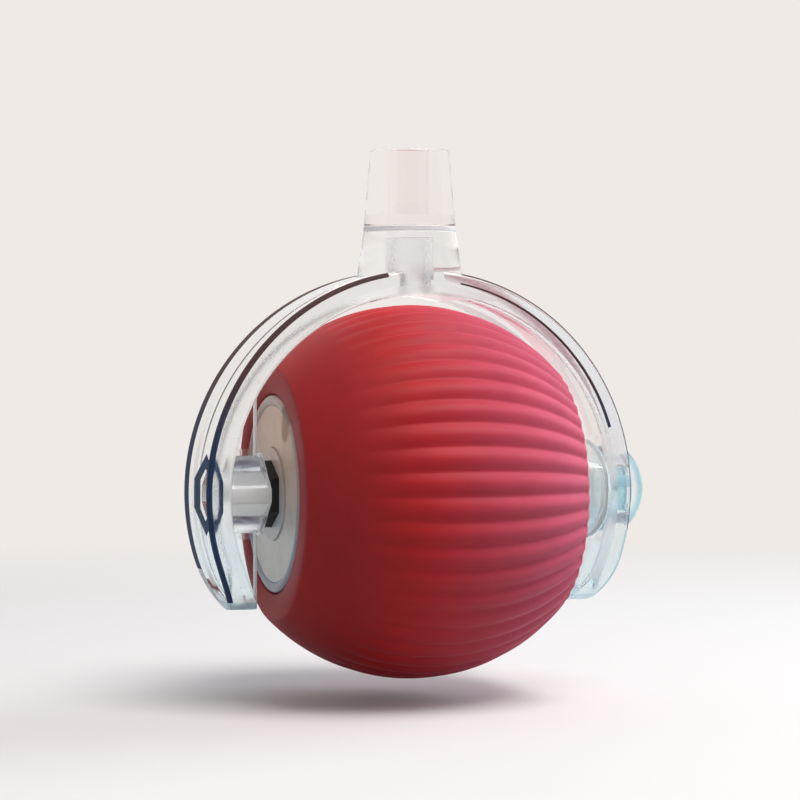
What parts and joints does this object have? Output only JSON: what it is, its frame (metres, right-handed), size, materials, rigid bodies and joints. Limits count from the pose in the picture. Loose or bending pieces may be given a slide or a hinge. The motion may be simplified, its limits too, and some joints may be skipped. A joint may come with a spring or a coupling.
{
  "type": "motorised cat ball",
  "caption": "Fluted silicone ball that a motor inside spins between the arms of a clear C-shaped yoke, with a tail socket on top.",
  "frame": {"origin": "centre of the tail socket's mouth, on top of the yoke", "axes": "+Z out of the tail socket's mouth, along the tube; X along the ball's spin axis, with the keyed drive end at -X and the pivot knob at +X"},
  "size_m": [0.0553, 0.044, 0.0622],
  "materials": {
    "clear_plastic": "clear moulded plastic, polished",
    "silicone": "matte fine-grained silicone, dark red to magenta",
    "shell_plastic": "moulded dark grey",
    "cap_plastic": "translucent grey-beige",
    "cap_rim_plastic": "darker grey-beige rim",
    "black_plastic": "black",
    "gear_plastic": "natural acetal",
    "steel": "plain steel",
    "jack_metal": "plated contact",
    "circuit_board": "green board",
    "lamp": "clear lens",
    "cell_foil": "foil pouch",
    "foam": "thin foam",
    "lead_cover": "insulated lead"
  },
  "bodies": {
    "root": {"yoke_arch": "clear_plastic", "tail_tube": "clear_plastic", "tube_collar": "clear_plastic", "tube_pin": "clear_plastic", "drive_sleeve": "clear_plastic", "pivot_knob": "clear_plastic", "drive_hub": "cap_plastic", "hex_liner": "black_plastic", "charging_jack": "jack_metal", "button_switch": "black_plastic", "port_board": "circuit_board", "status_led": "lamp", "core_frame": "shell_plastic", "core_cover": "shell_plastic", "gear_plate": "shell_plastic", "drive_motor": "steel", "motor_cap": "black_plastic", "motor_deck": "shell_plastic", "battery": "cell_foil", "battery_pad": "foam", "ballast": "steel", "circuit_board": "circuit_board", "board_parts": "black_plastic", "core_screws": "steel", "port_leads": "lead_cover", "battery_leads": "lead_cover", "motor_leads": "lead_cover"},
    "ball": {"silicone_sleeve": "silicone", "left_shell": "shell_plastic", "right_shell": "shell_plastic", "left_cap": "cap_plastic", "left_cap_rim": "cap_rim_plastic", "right_cap": "cap_plastic", "right_cap_rim": "cap_rim_plastic", "drive_bush": "gear_plastic", "axle_bush": "gear_plastic", "pivot_hub": "clear_plastic", "ring_gear": "gear_plastic", "ring_screws": "steel"},
    "idler": {"idler_pinion": "gear_plastic", "idler_wheel": "gear_plastic"},
    "pinion": {"motor_pinion": "gear_plastic", "motor_shaft": "steel"},
    "button": {"power_button": "black_plastic"}
  },
  "joints": [
    {"name": "ball_spin", "type": "hinge", "parent": "root", "child": "ball", "pos_m": [0, 0, -0.0402], "axis": [1, 0, 0], "continuous": true},
    {"name": "idler_spin", "type": "hinge", "parent": "root", "child": "idler", "pos_m": [0, 0, -0.03212], "axis": [1, 0, 0], "continuous": true},
    {"name": "pinion_spin", "type": "hinge", "parent": "root", "child": "pinion", "pos_m": [0, 0, -0.04071], "axis": [1, 0, 0], "continuous": true},
    {"name": "button_press", "type": "slide", "parent": "root", "child": "button", "axis": [1, 0, 0], "range_m": [0, 0.00035], "stiffness_N_per_m": 1500}
  ],
  "couplings": [
    {"joint": "idler_spin", "follows": "ball_spin", "ratio": 3.6667},
    {"joint": "pinion_spin", "follows": "ball_spin", "ratio": -8.8}
  ]
}
